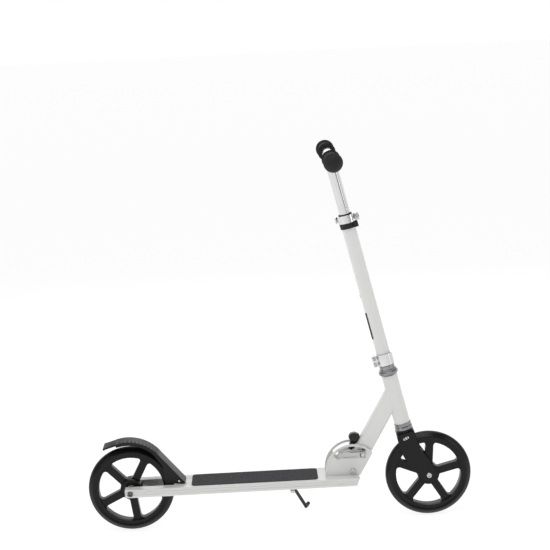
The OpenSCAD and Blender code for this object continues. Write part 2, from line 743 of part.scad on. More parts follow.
module clip_ring() color("#161618") on_axis(column_top - top_clamp_h - clip_h - 1) difference() {
    union() {
        cylinder(r = column_r + 2.6, h = clip_h);
        for (m = [0, 1]) mirror([0, m, 0]) translate([column_r + 1, column_r - 4, 0])
            cylinder(r = 6.5, h = clip_h);
    }
    translate([0, 0, -1]) cylinder(r = column_r, h = clip_h + 2);
    for (m = [0, 1]) mirror([0, m, 0]) translate([column_r + 1, column_r - 4, -1]) {
        cylinder(r = 4, h = clip_h + 2);
        translate([0, -2.5, 0]) cube([12, 5, clip_h + 2]);
    }
}

module stem_sleeve() color("#202022") on_axis(column_top - 72) difference() {
    union() {
        cylinder(r = column_r - column_wall, h = 72);
        translate([0, 0, 72]) cylinder(r = column_r - 0.2, h = 2);
    }
    translate([0, 0, -1]) cylinder(r = stem_d / 2 + run_gap, h = 80);
}

// ---- handlebar ----

stem_low = hole_s - 26;

module stem() color("silver") on_axis() difference() {
    union() {
        translate([0, 0, stem_low]) cylinder(r = stem_d / 2, h = bar_height - stem_low);
        translate([0, 0, stem_low]) cylinder(r = column_r - column_wall - 0.1, h = 14);
        translate([0, 0, bar_height]) bar_y(tee_d / 2, -tee_half, tee_half);
    }
    translate([0, 0, stem_low - 1]) cylinder(r = stem_d / 2 - 1.8, h = bar_height - stem_low - 16);
    translate([0, 0, bar_height]) bar_y(bar_d / 2 + run_gap, -tee_half - 1, tee_half + 1);
    translate([-2 * column_r, 0, hole_s]) rotate([0, 90, 0])
        cylinder(r = button_r + run_gap, h = 2 * column_r);
    // the bars' button holes are open to the end, so that a bar can be drawn out with its button out
    for (m = [0, 1]) mirror([0, m, 0]) translate([0, button_y, bar_height - 30]) {
        cylinder(r = button_r + rub_gap, h = 30);
        translate([-button_r - rub_gap, 0, 0]) cube([2 * button_r + 2 * rub_gap, tee_half, 30]);
    }
}

module button(from, to) rotate_extrude() polygon([[0, from], [button_r, from], [button_r, to - 1],
    [button_r - 1, to], [0, to]]);

module snap_button() color("silver") on_axis(hole_s) rotate([0, -90, 0]) button(6, column_r + 1.5);

module bar() difference() {
    bar_y(bar_d / 2, 26, bar_width / 2 - 7);
    bar_y(bar_d / 2 - 1.6, 25, bar_width / 2);
    translate([0, button_y, -bar_d]) cylinder(r = button_r + run_gap, h = bar_d);
}

module bar_left() color("silver") on_axis(bar_height) bar();
module bar_right() color("silver") on_axis(bar_height) mirror([0, 1, 0]) bar();

module bar_button() translate([0, button_y, 0]) mirror([0, 0, 1]) button(5, tee_d / 2 + 1.5);
module button_left() color("silver") on_axis(bar_height) bar_button();
module button_right() color("silver") on_axis(bar_height) mirror([0, 1, 0]) bar_button();

// A grip: an inner flange, a slightly fuller middle and a domed outer end
module grip() rotate([-90, 0, 0]) rotate_extrude() {
    r_in = bar_d / 2;
    start = bar_width / 2 - grip_l;
    tip = bar_width / 2;
    difference() {
        union() {
            translate([0, start]) square([20, 3]);
            translate([0, start + 3]) square([16.5, grip_l - 22]);
            translate([0, tip - 19]) square([21.3, 7]);
            intersection() {
                translate([0, tip - 22.7]) circle(22.7);
                translate([0, tip - 12]) square([21.3, 30]);
            }
        }
        translate([-1, start - 1]) square([r_in + 1, grip_l - 6]);
    }
}

module grip_left() color("#26262a") on_axis(bar_height) grip();
module grip_right() color("#26262a") on_axis(bar_height) mirror([0, 1, 0]) grip();

deck();
deck_plugs();
grip_tape();
deck_screws();
bracket();
pivot_bolt();
pivot_nut();
pivot_washers();
rear_axle();
rear_axle_nut();
rear_spacers();
rear_tyre();
rear_core();
rear_bearings();
fender_bracket();
fender_pin();
fender_spring();
fender();
brake_pad();
stand_bracket();
stand_pin();
stand_spring();
stand_leg();
stand_foot();
front_frame();
lower_cup();
upper_cup();
headset_bearings();
lock_spring();
lock_axle();
lock_nut();
lock_slider();
release_knob();
fold_lever();
fork();
headset_nut();
front_axle();
front_axle_nut();
front_spacers();
front_tyre();
front_core();
front_bearings();
steering_tube();
tube_strip();
lower_clamp();
upper_clamp();
clamp_bolts();
lever_bolt();
clamp_lever();
clip_ring();
stem_sleeve();
stem();
snap_button();
bar_left();
bar_right();
button_left();
button_right();
grip_left();
grip_right();
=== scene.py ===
import bmesh
import bpy
import json
from math import cos, pi, radians, sin
from mathutils import Matrix, Vector


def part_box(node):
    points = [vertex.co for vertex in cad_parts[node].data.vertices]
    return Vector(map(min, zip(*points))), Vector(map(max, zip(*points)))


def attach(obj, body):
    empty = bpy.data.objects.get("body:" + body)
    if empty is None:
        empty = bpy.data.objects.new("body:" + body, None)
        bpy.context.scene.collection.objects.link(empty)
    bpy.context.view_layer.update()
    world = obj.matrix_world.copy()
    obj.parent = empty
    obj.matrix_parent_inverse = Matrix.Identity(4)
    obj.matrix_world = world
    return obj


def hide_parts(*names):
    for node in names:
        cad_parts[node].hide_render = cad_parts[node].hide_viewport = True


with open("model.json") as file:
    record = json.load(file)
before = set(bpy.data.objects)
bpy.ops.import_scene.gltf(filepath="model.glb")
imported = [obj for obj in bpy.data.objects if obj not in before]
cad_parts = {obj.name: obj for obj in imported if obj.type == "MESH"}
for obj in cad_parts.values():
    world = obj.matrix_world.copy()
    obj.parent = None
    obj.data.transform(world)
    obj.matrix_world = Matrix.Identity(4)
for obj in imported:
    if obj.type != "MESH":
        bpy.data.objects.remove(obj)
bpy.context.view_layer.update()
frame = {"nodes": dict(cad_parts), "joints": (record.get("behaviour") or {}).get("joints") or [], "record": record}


# ---- Deck ----
# The deck is one extruded aluminium plank with hollow cells and a groove along each side, cut to
# length, slotted at the back for the wheel and powder coated white. Black plugs close its front.
class Num:
    """A number that varies over a surface, carried by a node's output."""

    def __init__(self, finish, socket):
        self.finish = finish
        self.socket = socket

    def maths(self, operation, first, second=0.0):
        node = self.finish.node("ShaderNodeMath", {"operation": operation}, {0: first, 1: second})
        return Num(self.finish, node.outputs[0])

    def __add__(self, other):
        return self.maths("ADD", self, other)

    def __sub__(self, other):
        return self.maths("SUBTRACT", self, other)

    def __rsub__(self, other):
        return self.maths("SUBTRACT", other, self)

    def __mul__(self, other):
        return self.maths("MULTIPLY", self, other)

    def __gt__(self, other):
        return self.maths("GREATER_THAN", self, other)

    __radd__ = __add__
    __rmul__ = __mul__


class Wiring:
    """A node tree, with one way to add a node and to feed its sockets."""

    def __init__(self, tree):
        self.nodes = tree.nodes
        self.links = tree.links

    def node(self, kind, settings=None, sockets=None):
        made = self.nodes.new(kind)
        for key, value in (settings or {}).items():
            if key == "stops":
                stops = made.color_ramp.elements
                for _ in value[2:]:
                    stops.new(0.5)
                for stop, (at, colour) in zip(stops, value):
                    stop.position = at
                    stop.color = (*colour, 1.0)
            else:
                setattr(made, key, value)
        for key, value in (sockets or {}).items():
            self.feed(made.inputs[key], value)
        return made

    def feed(self, socket, value):
        if isinstance(value, Num):
            value = value.socket
        if isinstance(value, bpy.types.NodeSocket):
            self.links.new(value, socket)
        else:
            socket.default_value = value


class Finish(Wiring):
    """One surface finish: a Principled shader and the nodes that vary it over the piece."""

    def __init__(self, name):
        self.material = bpy.data.materials.new(name)
        self.material.use_nodes = True
        super().__init__(self.material.node_tree)
        self.shader = self.nodes["Principled BSDF"]
        self.place = self.node("ShaderNodeTexCoord").outputs["Object"]

    def grain(self, scale, detail=2.0, roughness=0.5):
        """Soft random relief, with about scale features to the metre."""
        wanted = {"Vector": self.place, "Scale": scale, "Detail": detail, "Roughness": roughness}
        return Num(self, self.node("ShaderNodeTexNoise", {}, wanted).outputs["Fac"])

    def cells(self, scale):
        """Small round cells, with about scale of them to the metre."""
        made = self.node("ShaderNodeTexVoronoi", {}, {"Vector": self.place, "Scale": scale})
        return Num(self, made.outputs["Distance"])

    def blend(self, amount, dark, light):
        made = self.node("ShaderNodeMix", {"data_type": "RGBA", "clamp_factor": True})
        self.feed(made.inputs[0], amount)
        for socket, colour in ((made.inputs[6], dark), (made.inputs[7], light)):
            given = isinstance(colour, bpy.types.NodeSocket)
            self.feed(socket, colour if given else (*colour, 1.0))
        return made.outputs[2]

    def relief(self, height, distance, strength=1.0):
        wanted = {"Height": height, "Distance": distance, "Strength": strength}
        return self.node("ShaderNodeBump", {}, wanted).outputs["Normal"]

    def surface(self, **sockets):
        for key, value in sockets.items():
            self.feed(self.shader.inputs[key.replace("_", " ")], value)
        return self.material


def powder_coat(name, pale, deep, roughness, coat, shine=0.5):
    """Baked powder paint: even colour, a faint orange peel and a clear gloss on top."""
    paint = Finish(name)
    peel = paint.grain(420.0, 3.0)
    cloud = paint.grain(9.0, 2.0)
    return paint.surface(
        Base_Color=paint.blend(cloud, deep, pale),
        Roughness=peel * 0.10 + (roughness - 0.05),
        Specular_IOR_Level=shine,
        Coat_Weight=coat,
        Coat_Roughness=0.12,
        Normal=paint.relief(peel, 0.00012, 0.35),
    )


def moulded(name, dark, light, roughness, grain, depth, shine=0.22):
    """Moulded plastic: a fine grain from the mould and a slightly uneven sheen."""
    plastic = Finish(name)
    skin = plastic.grain(grain, 3.0, 0.6)
    cloud = plastic.grain(14.0, 3.0)
    return plastic.surface(
        Base_Color=plastic.blend(cloud, dark, light),
        Roughness=skin * 0.12 + cloud * 0.08 + (roughness - 0.10),
        Specular_IOR_Level=shine,
        Normal=plastic.relief(skin, depth, 0.5),
    )


def bare_metal(name, dark, light, roughness, grain=700.0, depth=0.00004):
    """Bare or plated metal: a fine even tooth from the tool, and small dull patches."""
    metal = Finish(name)
    tooth = metal.grain(grain, 3.0, 0.6)
    cloud = metal.grain(38.0, 3.0)
    return metal.surface(
        Base_Color=metal.blend(cloud, dark, light),
        Metallic=1.0,
        Roughness=tooth * 0.10 + cloud * 0.10 + (roughness - 0.10),
        Normal=metal.relief(tooth, depth, 0.4),
    )


def shown(bm, name, body, finish, stands_for=(), ease=0.0, segments=2, smooth=32):
    """Makes a finished piece of a bmesh: smooth where it is round, with its edges eased."""
    bmesh.ops.recalc_face_normals(bm, faces=bm.faces[:])
    mesh = bpy.data.meshes.new(name)
    bm.to_mesh(mesh)
    bm.free()
    piece = bpy.data.objects.new(name, mesh)
    bpy.context.scene.collection.objects.link(piece)
    mesh.materials.append(finish)
    mesh.shade_smooth()
    mesh.set_sharp_from_angle(angle=radians(smooth))
    if ease:
        rounding = piece.modifiers.new("Eased edges", "BEVEL")
        rounding.width = ease
        rounding.segments = segments
        rounding.limit_method = "ANGLE"
        rounding.angle_limit = radians(smooth)
        rounding.harden_normals = True
        rounding.miter_outer = "MITER_ARC"
    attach(piece, body)
    if stands_for:
        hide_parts(*stands_for)


same_point = 2e-6
same_plane = radians(0.6)


def merged(node):
    """A bmesh copy of a CAD node, with its loose triangles joined into clean faces."""
    bm = bmesh.new()
    bm.from_mesh(frame["nodes"][node].data)
    bmesh.ops.remove_doubles(bm, verts=bm.verts[:], dist=same_point)
    bmesh.ops.dissolve_limit(
        bm, angle_limit=same_plane, verts=bm.verts[:], edges=bm.edges[:], delimit={"NORMAL"}
    )
    return bm


node_body = {n: b for b, ns in frame["record"]["behaviour"]["bodies"].items() for n in ns}
node_slot = {s["node"]: s["material_slot"] for s in frame["record"]["subparts"]}


def eased(node, finish, ease=0.0004, segments=2):
    """The CAD node's own shape with its sharp edges broken, as a file or a tumbler leaves them."""
    body, slot = node_body[node], node_slot[node]
    shown(merged(node), node + "_finished", body, finish, [node], ease, segments)


def coated(node, finish):
    """Keeps the CAD node as it is and gives it its real finish."""
    mesh = frame["nodes"][node].data
    mesh.materials.clear()
    mesh.materials.append(finish)


white_coat = powder_coat(
    "white_powder_coat", (0.82, 0.825, 0.805), (0.79, 0.795, 0.775), 0.30, 0.30
)
black_trim = moulded(
    "black_trim_plastic", (0.016, 0.016, 0.017), (0.026, 0.026, 0.028), 0.48, 900.0, 0.00006
)
zinc = bare_metal("zinc_plate", (0.50, 0.50, 0.50), (0.68, 0.68, 0.66), 0.34)

eased("deck", white_coat, 0.0005)
eased("deck_plugs", black_trim, 0.0006)
eased("deck_screws", zinc, 0.0003)


# ---- Grip tape ----
# A sheet of mineral grit on black film is stuck along the middle of the deck. Its corners are
# round, and the grit catches the light in points.
def gritty(name):
    tape = Finish(name)
    grit = tape.cells(1100.0)
    clump = tape.grain(260.0, 3.0, 0.65)
    worn = tape.grain(11.0, 2.0)
    glint = tape.grain(2300.0, 1.0) > 0.66
    body = tape.blend(clump * 0.7 + worn * 0.3, (0.022, 0.023, 0.025), (0.078, 0.079, 0.084))
    return tape.surface(
        Base_Color=tape.blend(glint, body, (0.20, 0.20, 0.21)),
        Roughness=0.95 - clump * 0.25,
        Specular_IOR_Level=0.25,
        Normal=tape.relief(clump * 0.8 + grit, 0.0006, 0.8),
    )


eased("grip_tape", gritty("grit_tape"), 0.0005)


# ---- Folding bracket ----
# Two half-moon plates of 5 mm aluminium stand on the deck, tied by a web that is screwed down.
# The lock axle runs round an arc slot and drops into a notch at each end of it.
def turned(profile, place, steps=96):
    """A piece turned about local Z from a profile of (radius, height) points."""
    bm = bmesh.new()
    ring = [bm.verts.new((r, 0.0, h)) for r, h in profile]
    edges = [bm.edges.new(pair) for pair in zip(ring, ring[1:] + ring[:1])]
    bmesh.ops.spin(
        bm, geom=ring + edges, cent=(0, 0, 0), axis=(0, 0, 1), angle=2 * pi, steps=steps,
        use_merge=True,
    )
    bmesh.ops.remove_doubles(bm, verts=bm.verts[:], dist=1e-6)
    bmesh.ops.transform(bm, matrix=place, verts=bm.verts[:])
    bmesh.ops.recalc_face_normals(bm, faces=bm.faces[:])
    return bm


def joined(*parts):
    """Several bmeshes as one."""
    mesh = bpy.data.meshes.new("parts")
    whole = bmesh.new()
    for part in parts:
        part.to_mesh(mesh)
        part.free()
        whole.from_mesh(mesh)
    bpy.data.meshes.remove(mesh)
    return whole


def cut(bm, *tools):
    """Cuts each tool's solid out of the piece."""
    block = bpy.data.objects.new("block", bpy.data.meshes.new("block"))
    bm.to_mesh(block.data)
    bm.free()
    bpy.context.scene.collection.objects.link(block)
    made = [block]
    for number, tool in enumerate(tools):
        bmesh.ops.recalc_face_normals(tool, faces=tool.faces[:])
        cutter = bpy.data.objects.new(f"cutter{number}", bpy.data.meshes.new(f"cutter{number}"))
        tool.to_mesh(cutter.data)
        tool.free()
        bpy.context.scene.collection.objects.link(cutter)
        made.append(cutter)
        take = block.modifiers.new(f"cut{number}", "BOOLEAN")
        take.operation = "DIFFERENCE"
        take.solver = "EXACT"
        take.object = cutter
    result = bmesh.new()
    result.from_mesh(block.evaluated_get(bpy.context.evaluated_depsgraph_get()).data)
    for thing in made:
        mesh = thing.data
        bpy.data.objects.remove(thing)
        bpy.data.meshes.remove(mesh)
    bmesh.ops.remove_doubles(result, verts=result.verts[:], dist=same_point)
    bmesh.ops.dissolve_limit(
        result, angle_limit=same_plane, verts=result.verts[:], edges=result.edges[:]
    )
    return result


def rod(radius, low, high, place, steps=48):
    """A plain round bar along local Z, from low to high."""
    bm = bmesh.new()
    bmesh.ops.create_cone(
        bm, cap_ends=True, segments=steps, radius1=radius, radius2=radius, depth=high - low
    )
    bmesh.ops.translate(bm, vec=(0, 0, (low + high) / 2), verts=bm.verts[:])
    bmesh.ops.transform(bm, matrix=place, verts=bm.verts[:])
    return bm


def block_of(low, high, place=Matrix.Identity(4)):
    """A block between two corners."""
    bm = bmesh.new()
    bmesh.ops.create_cube(bm, size=1.0)
    low, high = Vector(low), Vector(high)
    bmesh.ops.scale(bm, vec=high - low, verts=bm.verts[:])
    bmesh.ops.translate(bm, vec=(low + high) / 2, verts=bm.verts[:])
    bmesh.ops.transform(bm, matrix=place, verts=bm.verts[:])
    return bm


def sector(inner, outer, first, last, low, high, place, steps=40):
    """A piece of a flat ring about local Z, between two angles in degrees."""
    bm = bmesh.new()
    start = radians(first)
    corners = [(inner, low), (outer, low), (outer, high), (inner, high)]
    loop = [bm.verts.new((r * cos(start), r * sin(start), h)) for r, h in corners]
    face = bm.faces.new(loop)
    bmesh.ops.spin(
        bm,
        geom=[face, *face.edges, *face.verts],
        cent=(0, 0, 0),
        axis=(0, 0, 1),
        angle=radians(last - first),
        steps=steps,
        use_duplicate=False,
    )
    bmesh.ops.remove_doubles(bm, verts=bm.verts[:], dist=1e-7)
    bmesh.ops.transform(bm, matrix=place, verts=bm.verts[:])
    bmesh.ops.holes_fill(bm, edges=bm.edges[:], sides=4)
    bmesh.ops.recalc_face_normals(bm, faces=bm.faces[:])
    return bm


def along(foot, way):
    """A place at foot whose local Z runs along way."""
    lean = Vector((0, 0, 1)).rotation_difference(way)
    return Matrix.Translation(foot) @ lean.to_matrix().to_4x4()


joints = {j["name"]: j for j in frame["joints"]}
pivot = Vector(joints["fold"]["pos_m"])
down_tube = along(pivot, Vector(joints["lock_slide"]["axis"]).normalized())
# Local X of this frame is the world's +X and local Y is up, so angles count as they are seen
from_side = Matrix.Translation(pivot) @ Matrix.Rotation(pi / 2, 4, "X")

bracket_low, bracket_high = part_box("bracket")
deck_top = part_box("deck")[1].z
plate_out = bracket_high.y
plate_in = plate_out - 0.005
plate_r = bracket_high.z - pivot.z
tube_face = 0.0201
lock_r = (Vector(joints["skewer_turn"]["pos_m"]) - pivot).length
lock_deg = 60.0
fold_deg = joints["fold"]["range_deg"][1]
slot_mid = lock_r + 0.0072
slot_half = 0.0042
notch_shift = 0.0002
beyond = 0.01
web_back, web_front = bracket_low.x + 0.0015, bracket_low.x + 0.0385
web_thick = 0.003


def bracket_plate(low, high):
    """One plate: a disc cut off at the deck and at the down tube, with its slot and notches."""
    plate = rod(plate_r, low, high, from_side, 128)
    tube_front = down_tube @ Vector((tube_face, 0, 0))
    for point, way in (
        ((0, 0, deck_top), (0, 0, -1)),
        (tube_front, down_tube.to_3x3() @ Vector((1, 0, 0))),
    ):
        whole = [*plate.verts, *plate.edges, *plate.faces]
        bmesh.ops.bisect_plane(plate, geom=whole, plane_co=point, plane_no=way, clear_outer=True)
        bmesh.ops.holes_fill(plate, edges=plate.edges[:], sides=0)
    first, last = lock_deg, lock_deg + fold_deg
    inner, outer = slot_mid - slot_half, slot_mid + slot_half
    tools = [sector(inner, outer, first, last, low - beyond, high + beyond, from_side)]
    for angle in (first, last):
        turn = from_side @ Matrix.Rotation(radians(angle), 4, "Z")
        for at in (lock_r, slot_mid + notch_shift):
            hole_at = turn @ Matrix.Translation((at, 0, 0))
            tools.append(rod(slot_half, low - beyond, high + beyond, hole_at))
    return cut(plate, *tools)


near_plate = bracket_plate(plate_in, plate_out)
far_plate = bracket_plate(-plate_out, -plate_in)
web = block_of((web_back, -plate_in, deck_top), (web_front, plate_in, deck_top + web_thick))
bracket = joined(near_plate, far_plate, web)
shown(bracket, "bracket_finished", "deck", white_coat, ["bracket"], 0.0005)

eased("pivot_bolt", zinc, 0.0003)
eased("pivot_nut", zinc, 0.0003)
eased("pivot_washers", black_trim, 0.0003)


# ---- Wheels ----
# A solid polyurethane tyre is cast round a nylon core with broad spokes. Two ball bearings sit in
# the hub on an M8 axle. The tyre is smooth, with the mould's line round the middle of its tread.
def cast_tyre(name):
    rubber = Finish(name)
    skin = rubber.grain(620.0, 3.0, 0.6)
    cloud = rubber.grain(16.0, 4.0)
    return rubber.surface(
        Base_Color=rubber.blend(cloud, (0.0040, 0.0040, 0.0045), (0.0090, 0.0090, 0.0095)),
        Specular_IOR_Level=0.24,
        Roughness=cloud * 0.16 + skin * 0.08 + 0.20,
        Normal=rubber.relief(skin, 0.00008, 0.5),
    )


tyre_coat = cast_tyre("cast_polyurethane")
dark_steel = bare_metal("dark_steel", (0.10, 0.10, 0.105), (0.20, 0.20, 0.21), 0.36)
core_coat = moulded(
    "black_nylon", (0.005, 0.005, 0.006), (0.010, 0.010, 0.011), 0.27, 700.0, 0.00005
)

SPOKES = 5
RIM_IN, HUB_OUT, SPOKE_HALF = 0.0760, 0.0250, 0.0090
RIM_ROUND, HUB_ROUND = 0.0085, 0.0036
WINDOW_GAP, WINDOW_HALF = 0.0006, 0.02
WHEEL_STEPS = 144
core_section = [
    (0.0110, -0.0150), (0.0232, -0.0150), (0.0250, -0.0132), (0.0250, -0.0080),
    (RIM_IN - 0.0008, -0.0080), (RIM_IN, -0.0088), (RIM_IN, -0.0127), (RIM_IN + 0.0008, -0.0135),
    (0.0840, -0.0135),
]
core_section += [(r, -h) for r, h in reversed(core_section)]


def core_window(middle, axle):
    """The space between two spokes: a solid to cut away, with round corners."""
    far, near = RIM_IN - WINDOW_GAP, HUB_OUT + WINDOW_GAP
    step = pi / SPOKES
    # The angles of half a spoke, at the rim and at the hub, are a little more than their sines
    wide = [k / 4 * (step - SPOKE_HALF / far * 1.003) for k in range(-4, 5)]
    tight = [k * (step - SPOKE_HALF / near * 1.02) for k in (1, 0, -1)]
    outline = [(far * cos(a), far * sin(a)) for a in wide]
    outline += [(near * cos(a), near * sin(a)) for a in tight]
    bm = bmesh.new()
    face = bm.faces.new([bm.verts.new((x, y, -WINDOW_HALF)) for x, y in outline])
    corners = list(face.verts)
    at_rim, at_hub = [corners[0], corners[8]], [corners[9], corners[11]]
    for ends, size in ((at_rim, RIM_ROUND), (at_hub, HUB_ROUND)):
        bmesh.ops.bevel(
            bm, geom=ends, offset=size, segments=6, profile=0.5, material=-1, affect="VERTICES"
        )
    made = bmesh.ops.extrude_face_region(bm, geom=bm.faces[:])
    lifted = [v for v in made["geom"] if isinstance(v, bmesh.types.BMVert)]
    bmesh.ops.translate(bm, vec=(0, 0, 2 * WINDOW_HALF), verts=lifted)
    turn = Matrix.Rotation(radians(-middle), 4, "Z")
    bmesh.ops.transform(bm, matrix=axle @ turn, verts=bm.verts[:])
    bmesh.ops.recalc_face_normals(bm, faces=bm.faces[:])
    return bm


along_y = Matrix.Rotation(-pi / 2, 4, "X")
rear_axle = Matrix.Translation(joints["rear_wheel_spin"]["pos_m"]) @ along_y
front_axle = Matrix.Translation(joints["front_wheel_spin"]["pos_m"]) @ along_y
for end, axle, spoke_turn in (("rear", rear_axle, 62.0), ("front", front_axle, 14.0)):
    low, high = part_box(end + "_tyre")
    wheel_r, half = (high.x - low.x) / 2, high.y
    bead = wheel_r - 0.016
    tread = [
        (bead, -half + 0.0010),
        (bead + 0.0025, -half),
        (bead + 0.0055, -half + 0.0003),
        (wheel_r - 0.0050, -half + 0.0046),
        (wheel_r - 0.0012, -0.0062),
        (wheel_r, -0.0009),
        (wheel_r - 0.0002, 0.0),
    ]
    foot = [(bead - 0.003, half - 0.006), (bead - 0.003, -half + 0.006)]
    outline = tread + [(r, -h) for r, h in reversed(tread[:-1])] + foot
    shown(
        turned(outline, axle, WHEEL_STEPS), end + "_tyre_finished", end + "_wheel",
        tyre_coat, [end + "_tyre"], 0.0012, 3, 14,
    )
    windows = [core_window(spoke_turn + (k + 0.5) * 360.0 / SPOKES, axle) for k in range(SPOKES)]
    shown(
        cut(turned(core_section, axle, WHEEL_STEPS), *windows), end + "_core_finished",
        end + "_wheel", core_coat, [end + "_core"], 0.0016, 3,
    )
    for node in ("_bearings", "_spacers", "_axle", "_axle_nut"):
        eased(end + node, dark_steel if node == "_axle" and end == "rear" else zinc, 0.0003)


# ---- Fender brake ----
# The rear fender is moulded in black nylon and hinges on a pin just ahead of the wheel. Stepping on
# its ribbed top presses the steel pad under it on to the tyre, and a coil spring lifts it again.
fender_coat = moulded(
    "black_fender_nylon", (0.008, 0.008, 0.009), (0.018, 0.018, 0.019), 0.40, 520.0, 0.00012
)
spring_wire = bare_metal("spring_wire", (0.22, 0.22, 0.22), (0.42, 0.42, 0.42), 0.32)

eased("fender", fender_coat, 0.0009, 3)
eased("brake_pad", zinc, 0.0004)
eased("fender_bracket", zinc, 0.0004)
eased("fender_pin", zinc, 0.0004)
coated("fender_spring", spring_wire)


# ---- Kickstand ----
# A bent steel rod swings on a pin between two ears of a plate that is screwed under the deck. A
# coil spring sits on the pin's lower end, and a rubber sleeve covers the foot.
black_steel = powder_coat(
    "black_steel", (0.014, 0.014, 0.015), (0.009, 0.009, 0.010), 0.36, 0.0, 0.22
)
soft_rubber = moulded(
    "black_sleeve_rubber", (0.014, 0.014, 0.015), (0.026, 0.026, 0.027), 0.62, 800.0, 0.00010
)
eased("stand_bracket", black_steel, 0.0005)
eased("stand_pin", zinc, 0.0003)
coated("stand_spring", spring_wire)
eased("stand_leg", black_steel, 0.0004)
eased("stand_foot", soft_rubber, 0.0004)


# ---- Front frame ----
# The flat-sided down tube is welded to the head tube, and both are powder coated white. Steel cups
# are pressed into the ends of the head tube and hold the headset's bearings.
cup_steel = bare_metal("headset_steel", (0.16, 0.16, 0.165), (0.40, 0.40, 0.41), 0.26)
eased("front_frame", white_coat, 0.0012, 3)
eased("lower_cup", cup_steel, 0.0004)
eased("upper_cup", cup_steel, 0.0004)
coated("headset_bearings", zinc)


# ---- Fold lock ----
# A slider on a spring inside the down tube carries the lock axle. The hooked black knob behind the
# tube pulls it up out of its notch, and the grey lever clamps the axle to the bracket.
lever_metal = bare_metal(
    "cast_lever", (0.46, 0.47, 0.455), (0.60, 0.61, 0.59), 0.42, grain=500.0, depth=0.00008
)
knob_coat = moulded(
    "gloss_knob", (0.005, 0.005, 0.006), (0.009, 0.009, 0.010), 0.20, 600.0, 0.00004, 0.35
)
coated("lock_spring", spring_wire)
eased("lock_axle", zinc, 0.0003)
eased("lock_nut", zinc, 0.0003)
eased("lock_slider", black_trim, 0.0005)
eased("release_knob", knob_coat, 0.0016, 4)
eased("fold_lever", lever_metal, 0.0011, 3)


# ---- Fork ----
# Two steel plates are welded to a crown under the steerer and painted gloss black. They hold the
# front axle a little ahead of the steering axis.
gloss_black = powder_coat(
    "gloss_black_paint", (0.009, 0.009, 0.010), (0.005, 0.005, 0.006), 0.22, 0.0, 0.22
)
eased("fork", gloss_black, 0.0011, 3)
eased("headset_nut", cup_steel, 0.0005)
fork_out = -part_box("fork")[0].y
column = along(Vector(joints["steer"]["pos_m"]), Vector(joints["steer"]["axis"]).normalized())
# Painted highlight: a small bright metal capsule stands in for the shine on each plate's rounded shoulder. It has
# a badge's shape, is set into the plate and stands a little proud of it.
pill_r, pill_half, pill_deep = 0.0027, 0.0042, 0.0044
pill_at = (
    column
    @ Matrix.Translation((-0.002, 0, 0.094))
    @ Matrix.Rotation(pi / 2, 4, "X")
    @ Matrix.Rotation(radians(14), 4, "Z")
)
# Bright metal for the painted highlight capsules.
pill_plate = bare_metal("pill_plate", (0.6, 0.6, 0.6), (0.75, 0.75, 0.74), 0.25)
for side, low in (("near", fork_out - 0.0040), ("far", -fork_out - 0.0004)):
    high = low + pill_deep
    ends = [
        rod(pill_r, low, high, pill_at @ Matrix.Translation((x, 0, 0)), 32)
        for x in (-pill_half, pill_half)
    ]
    middle = block_of((-pill_half, -pill_r, low), (pill_half, pill_r, high), pill_at)
    shown(joined(*ends, middle), "fork_pill_" + side, "fork", pill_plate)


# ---- Steering column ----
# The white steering tube is clamped round the steerer at its foot. Its row of holes takes the
# stem's snap button, and the collar at its top closes with a cam lever.
bright_alloy = bare_metal("bright_clamp", (0.60, 0.60, 0.61), (0.80, 0.80, 0.81), 0.20)
tube_low, tube_high = 0.272, 0.633
tube_r = 0.016
tube_in = tube_r - 0.0016
hole_r, hole_low, hole_deep = 0.0042, 0.442, 0.03
shell = turned(
    [(tube_in, tube_low), (tube_r, tube_low), (tube_r, tube_high), (tube_in, tube_high)], column
)
holes = [
    rod(
        hole_r, -hole_deep, 0.0,
        column @ Matrix.Translation((0, 0, hole_low + up)) @ Matrix.Rotation(pi / 2, 4, "Y"),
    )
    for up in (0.0, 0.05, 0.1)
]
shown(
    cut(shell, *holes), "steering_tube_finished", "fork", white_coat,
    ["steering_tube"], 0.0003,
)
strip_low, strip_high, film = tube_low + 0.066, tube_low + 0.130, 0.0002
strip = sector(tube_r, tube_r + film, 142.0, 218.0, strip_low, strip_high, column)
shown(strip, "tube_strip_finished", "fork", black_trim, ["tube_strip"])
eased("lower_clamp", bright_alloy, 0.0006)
eased("upper_clamp", bright_alloy, 0.0006)
eased("clamp_bolts", zinc, 0.0003)
eased("lever_bolt", zinc, 0.0003)
eased("clamp_lever", bright_alloy, 0.0007)
eased("clip_ring", black_trim, 0.0006)
eased("stem_sleeve", black_trim, 0.0004)


# ---- Handlebar ----
# The chromed stem ends in a T tube that the two bars slide into. Each bar is held by a snap button
# and carries a soft grip with an inner flange and a domed end.
chrome = bare_metal("chrome_plate", (0.66, 0.66, 0.67), (0.74, 0.74, 0.75), 0.11, depth=0.00001)
eased("stem", chrome, 0.0006)
for node in ("snap_button", "bar_left", "bar_right", "button_left", "button_right"):
    eased(node, chrome, 0.0003)


def soft_grip(name):
    foam = Finish(name)
    pores = foam.cells(1500.0)
    skin = foam.grain(480.0, 3.0, 0.6)
    cloud = foam.grain(20.0, 3.0)
    return foam.surface(
        Base_Color=foam.blend(cloud * 0.6 + skin * 0.4, (0.010, 0.010, 0.011), (0.026, 0.026, 0.028)),
        Specular_IOR_Level=0.25,
        Roughness=0.78 - cloud * 0.22,
        Normal=foam.relief(skin + pores * 0.6, 0.00022, 0.6),
    )


